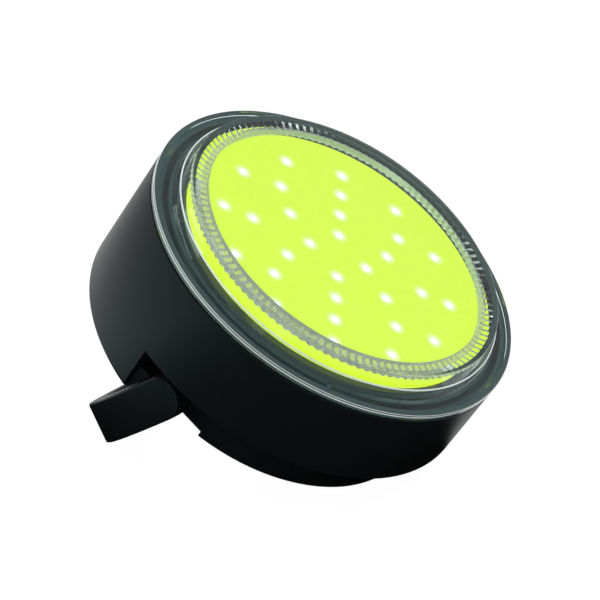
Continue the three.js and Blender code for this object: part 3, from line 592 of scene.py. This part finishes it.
# LED board: a round board of glass-fibre laminate under a black solder mask. It rests on the housing's
# posts and is held by two screws.
dark_board = moulded("black solder mask", (0.01, 0.012, 0.012), (0.014, 0.016, 0.016), 0.5, 3000, 0.00001)
board_radius, board_thickness = 40.5, 1.6
led_board = rod("led_board_round", board_radius, board_low, board_low + board_thickness, corners=180)
for side, name in ((-1, "led_board_screw_1"), (1, "led_board_screw_2")):
    y = side * screw_reach
    worked(led_board, rod("board hole", screw_hole, 30, 40, 0, y), "DIFFERENCE")
    led_screw = screw(f"led_screw_steel_{side}", 7, (0, y, board_low + 1.9))
    placed(led_screw, steel, "flare", "screw", name)
placed(led_board, dark_board, "flare", "led_board", "led_board")

# LEDs: thirty white LEDs of one kind on their board, in rings of four, six, eight and twelve. Each is
# a small block with a round window that fills its hole in the face plate.
light_plane = 37.0
ring_pitch = 7.8
ring_counts = (4, 6, 8, 12)
ring_turn = math.radians(-52.7)
led_window = 1.1
led_places = []
for ring, count in enumerate(ring_counts):
    reach = ring_pitch * (ring + 1)
    for number in range(count):
        turn = ring_turn + math.tau * number / count
        led_places.append((ring, number, turn, reach * math.cos(turn), reach * math.sin(turn)))

led = bar("led", (-1.75, -1.4, 34.9), (1.75, 1.4, 35.9))
softened(led, 0.15)
window = turned("led window", [(0, 35.4), (led_window, 35.4), *rounding(
    led_window - 0.25, light_plane - 0.25, 0.25, 0, 90, 3), (0, light_plane)], 24)
worked(led, window, "UNION")


def led_distance(nodes, links):
    """How far a point is from the middle of the nearest LED, in millimetres."""
    where = nodes.new("ShaderNodeTexCoord")
    upright = nodes.new("ShaderNodeMapping")
    upright.vector_type = "TEXTURE"
    upright.inputs["Location"].default_value = rear_middle
    upright.inputs["Rotation"].default_value = (0, lean, 0)
    upright.inputs["Scale"].default_value = (0.001, 0.001, 0.001)
    links.new(where.outputs["Object"], upright.inputs["Vector"])
    split = nodes.new("ShaderNodeSeparateXYZ")
    links.new(upright.outputs["Vector"], split.inputs["Vector"])
    across, along = split.outputs["X"], split.outputs["Y"]

    def step(*parts):
        return sums(nodes, links, *parts)

    def length(first, second):
        return step("SQRT", step("ADD", step("POWER", first, 2.0), step("POWER", second, 2.0)))

    reach = length(across, along)
    turn = step("SUBTRACT", step("ARCTAN2", along, across), ring_turn)
    nearest = None
    for ring, count in enumerate(ring_counts):
        offset = step("WRAP", turn, math.pi / count, -math.pi / count)
        ahead = step("SUBTRACT", step("MULTIPLY", reach, step("COSINE", offset)), ring_pitch * (ring + 1))
        aside = step("MULTIPLY", reach, step("SINE", offset))
        away = length(ahead, aside)
        nearest = away if nearest is None else step("MINIMUM", nearest, away)
    return nearest


white_light, nodes, links, shader = new_finish("white led")
where = nodes.new("ShaderNodeTexCoord")
cloud = nodes.new("ShaderNodeTexNoise")
cloud.inputs["Scale"].default_value = 800
links.new(where.outputs["Object"], cloud.inputs["Vector"])
glow = nodes.new("ShaderNodeMapRange")
glow.inputs["To Min"].default_value = 1.3
glow.inputs["To Max"].default_value = 1.5
links.new(cloud.outputs["Fac"], glow.inputs["Value"])
links.new(glow.outputs["Result"], shader.inputs["Emission Strength"])
edge = nodes.new("ShaderNodeMapRange")
edge.interpolation_type = "SMOOTHSTEP"
edge.inputs["From Min"].default_value = 0.75
edge.inputs["From Max"].default_value = 1.35
links.new(led_distance(nodes, links), edge.inputs["Value"])
light = nodes.new("ShaderNodeMix")
light.data_type = "RGBA"
light.inputs["A"].default_value = (1, 1, 1, 1)
light.inputs["B"].default_value = (0.6, 0.75, 0.22, 1)
links.new(edge.outputs["Result"], light.inputs["Factor"])
links.new(light.outputs["Result"], shader.inputs["Emission Color"])
shader.inputs["Base Color"].default_value = (0.85, 0.85, 0.85, 1)
for ring, number, turn, x, y in led_places:
    place = Matrix.Translation((x, y, 0)) @ Matrix.Rotation(turn, 4, "Z")
    piece = copied(led, f"led_{ring + 1}_{number + 1}_light", place)
    placed(piece, white_light, "flare", "led", f"led_ring{ring + 1}_{number + 1}")
bpy.data.meshes.remove(led.data)

# Face plate: a thin yellow-green diffuser with a round hole over each LED. Its glow is painted light, an
# emission that stands in for the LEDs' light in the diffuser, with a painted pool of paler light round each
# LED.
face_radius, face_low = 40.5, light_plane - 0.8
face_plate = turned("face_plate_glow", [
    (0, light_plane), *rounding(face_radius - 0.2, light_plane - 0.2, 0.2, 90, 0, 3),
    (face_radius, face_low), (0, face_low)])
for *_, x, y in led_places:
    worked(face_plate, rod("led hole", led_window + 0.06, 30, 40, x, y, 24), "DIFFERENCE")

# Painted glow: the diffuser's emission, palest in a painted pool of light round each LED.
painted_glow, nodes, links, shader = new_finish("glowing yellow-green diffuser")
painted_led_pool = nodes.new("ShaderNodeMapRange")
painted_led_pool.interpolation_type = "SMOOTHSTEP"
painted_led_pool.inputs["From Min"].default_value = 0.9
painted_led_pool.inputs["From Max"].default_value = 2.8
painted_led_pool.inputs["To Min"].default_value = 1
painted_led_pool.inputs["To Max"].default_value = 0
links.new(led_distance(nodes, links), painted_led_pool.inputs["Value"])
light = nodes.new("ShaderNodeMix")
light.data_type = "RGBA"
light.inputs["A"].default_value = (0.83, 1.0, 0.0, 1)
light.inputs["B"].default_value = (1.0, 1.0, 0.5, 1)
links.new(painted_led_pool.outputs["Result"], light.inputs["Factor"])
links.new(light.outputs["Result"], shader.inputs["Emission Color"])
shader.inputs["Emission Strength"].default_value = 1.06
shader.inputs["Base Color"].default_value = (0.04, 0.07, 0.002, 1)
shader.inputs["Roughness"].default_value = 0.5
placed(face_plate, painted_glow, "flare", "face_plate", "face_plate")

# Lens seal: a moulded ring of black rubber, round in section. It lies on the housing's ledge, and the
# skirt of the lens presses it down.
bpy.ops.object.select_all(action="DESELECT")
bpy.ops.mesh.primitive_torus_add(
    major_radius=45.85, minor_radius=0.88, major_segments=180, minor_segments=16, location=(0, 0, 27.6))
lens_seal = bpy.context.active_object
lens_seal.name = "lens_seal_ring"
bpy.ops.object.transform_apply()
placed(lens_seal, rubber, "flare", "seal", "lens_seal")

# Lens: one clear acrylic moulding that snaps into the drum by its skirt. A thick rim inside the tapered
# wall is notched all round its underside and slightly milky there, to spread the light. Under the flange
# lies a dark teal sheet of painted shade, which keeps the face plate's glow out of the flange. Thin pale
# bands of painted highlight run round the flange's edge and along a raised line on the wall.
lens_top = 42.8
roof_low = lens_top - 1.2
wall_top, wall_foot = 42.9, 45
top_round = 0.6
raised_line = [(44.05, 39.4), (44.3, 39.3), (44.35, 39.1), (44.2, 38.95)]
flange_low, flange_high = 35.0, 37.2
groove_floor, groove_outer, bead_inner = 36.5, 47.9, 48.6
bead_round, under_round = 0.5, 0.4
# Heights of the two thin pale bands of painted highlight round the flange's edge.
painted_highlight_heights = (36, 36.3), (36.6, 36.85)
skirt_low, skirt_inner, skirt_outer = 28.8, 45.6, 47.3
snap_ridge = [(skirt_outer, 32.3), (47.8, 31.7), (47.8, 31), (skirt_outer, 31)]
inner_foot = 43.5
rib_root, rib_edge, rib_tip = 41.4, 39.7, 38.1
root_low, rib_low = 40.3, 39.2
rib_depth = 0.55
rib_count = 120
slot_floor, slot_inner, slot_outer, slot_half = 36, 45.4, 47.7, 0.6
slot_turn = math.radians(-53.4)

lens = turned("clear_lens", [
    (0, lens_top), *rounding(wall_top - top_round, lens_top - top_round, top_round, 90, 18, 5), *raised_line,
    (wall_foot, groove_floor), (groove_outer, groove_floor), (bead_inner, flange_high),
    *rounding(housing_radius - bead_round, flange_high - bead_round, bead_round, 90, 0, 4),
    (housing_radius, painted_highlight_heights[0][1]), (housing_radius, painted_highlight_heights[0][0]),
    *rounding(housing_radius - under_round, flange_low + under_round, under_round, 0, -90, 4),
    (skirt_outer, flange_low), *snap_ridge, (skirt_outer, skirt_low), (skirt_inner, skirt_low),
    (skirt_inner, flange_low), (inner_foot, flange_low), (rib_root, root_low), (rib_edge, rib_low),
    (rib_tip, rib_low), (rib_tip, roof_low), (0, roof_low)], 240)
for part in (*lens.data.polygons, *lens.data.edges):
    part.select = False
for corner in lens.data.vertices:
    place = round(math.atan2(corner.co.y, corner.co.x) * rib_count / math.pi)
    across = math.hypot(corner.co.x, corner.co.y)
    low_edge = min(abs(corner.co.z - rib_low), abs(corner.co.z - root_low)) < 0.01
    corner.select = place % 2 == 0 and low_edge and across < rib_root + 0.1
bpy.ops.object.mode_set(mode="EDIT")
bpy.ops.transform.translate(value=(0, 0, rib_depth))
bpy.ops.object.mode_set(mode="OBJECT")
slot = bar("pry slot", (slot_inner, -slot_half, slot_floor), (slot_outer, slot_half, flange_high + 0.8))
slot.data.transform(Matrix.Rotation(slot_turn, 4, "Z"))
worked(lens, slot, "DIFFERENCE")
# Painted shade: a dark teal finish under the flange and on the pry slot's floor, which darkens the flange
# and keeps the plate's glow out of it.
painted_shade_sheet = moulded("painted shade sheet", (0.08, 0.14, 0.15), (0.1, 0.17, 0.18), 0.5, 2000, 0.00001, specular=0.2)
# Painted highlight: a pale finish that draws the thin bright lines round the flange's edge and on the raised
# line.
painted_highlight = moulded("frosted edge", (0.75, 0.85, 0.82), (0.85, 0.93, 0.9), 0.5, 2500, 0.00001)


def acrylic(name, colour, clearness, low, high):
    """Moulded acrylic with a roughness between low and high. Less clearness makes it milky."""
    material, nodes, links, shader = new_finish(name)
    where = nodes.new("ShaderNodeTexCoord")
    cloud = nodes.new("ShaderNodeTexNoise")
    cloud.inputs["Scale"].default_value = 120
    links.new(where.outputs["Object"], cloud.inputs["Vector"])
    gloss = nodes.new("ShaderNodeMapRange")
    gloss.inputs["To Min"].default_value = low
    gloss.inputs["To Max"].default_value = high
    links.new(cloud.outputs["Fac"], gloss.inputs["Value"])
    links.new(gloss.outputs["Result"], shader.inputs["Roughness"])
    shader.inputs["Base Color"].default_value = (*colour, 1)
    shader.inputs["Transmission Weight"].default_value = clearness
    shader.inputs["IOR"].default_value = 1.49
    shader.inputs["Specular Tint"].default_value = (0.75, 0.97, 1, 1)
    shader.inputs["Specular IOR Level"].default_value = 0.3
    return material


clear = acrylic("clear acrylic", (0.8, 0.95, 0.955), 0.985, 0.0, 0.06)
milky = acrylic("milky acrylic", (0.92, 0.93, 0.93), 0.5, 0.3, 0.36)
lens_finishes = (clear, painted_shade_sheet, painted_highlight, milky)


def lens_finish(face):
    """Which of the lens's finishes a face has."""
    across, high = math.hypot(face.center.x, face.center.y), face.center.z
    in_slot = abs(high - slot_floor) < 0.01 and wall_foot < across < groove_outer
    # Painted shade under the flange and on the slot's floor.
    if high < flange_low + 0.1 or in_slot:
        return painted_shade_sheet
    # Painted highlight bands round the flange's edge and on the raised line.
    on_line = 44.1 < across < 44.34 and 38.9 < high < raised_line[0][1]
    if on_line or across > housing_radius - 0.3 and any(low < high < top for low, top in painted_highlight_heights):
        return painted_highlight
    if rib_tip - 0.1 < across < rib_edge and high < roof_low - 0.1:
        return milky
    return clear


chosen = [lens_finishes.index(lens_finish(face)) for face in lens.data.polygons]
placed(lens, clear, "flare", "lens", "lens", smooth=20)
for finish in lens_finishes[1:]:
    lens.data.materials.append(finish)
for face, finish in zip(lens.data.polygons, chosen):
    face.material_index = finish

# Bail: a half-ring strap of the same black plastic, with round ends that turn on the pivot pins. It is
# drawn folded, then swung open.
bail_half = bail_width / 2
bail_outer = housing_radius - 0.03
edge_round = 0.7
ring = [*rounding(bail_outer - edge_round, edge_round - bail_half, edge_round, -90, 0),
        *rounding(bail_outer - edge_round, bail_half - edge_round, edge_round, 0, 90),
        *rounding(strap_inner + edge_round, bail_half - edge_round, edge_round, 90, 180),
        *rounding(strap_inner + edge_round, edge_round - bail_half, edge_round, 180, 270)]
bail = turned("folding_bail", [*ring, ring[0]])
kept = bar("bail half", (0, -past_drum, -bail_width), (past_drum, past_drum, bail_width))
worked(kept, cross_rod("bail ends", bail_half, -past_drum, past_drum, 0, 96), "UNION")
worked(bail, kept, "INTERSECT")
for side in (-1, 1):
    worked(bail, cross_rod("pin socket", pin_hole, side * 43.5, side * 48.6, 0), "DIFFERENCE")
bail.data.transform(Matrix.Translation((0, 0, pivot_height)) @ Matrix.Rotation(open_turn, 4, "Y"))
placed(bail, black_plastic, "bail", "bail", "bail")
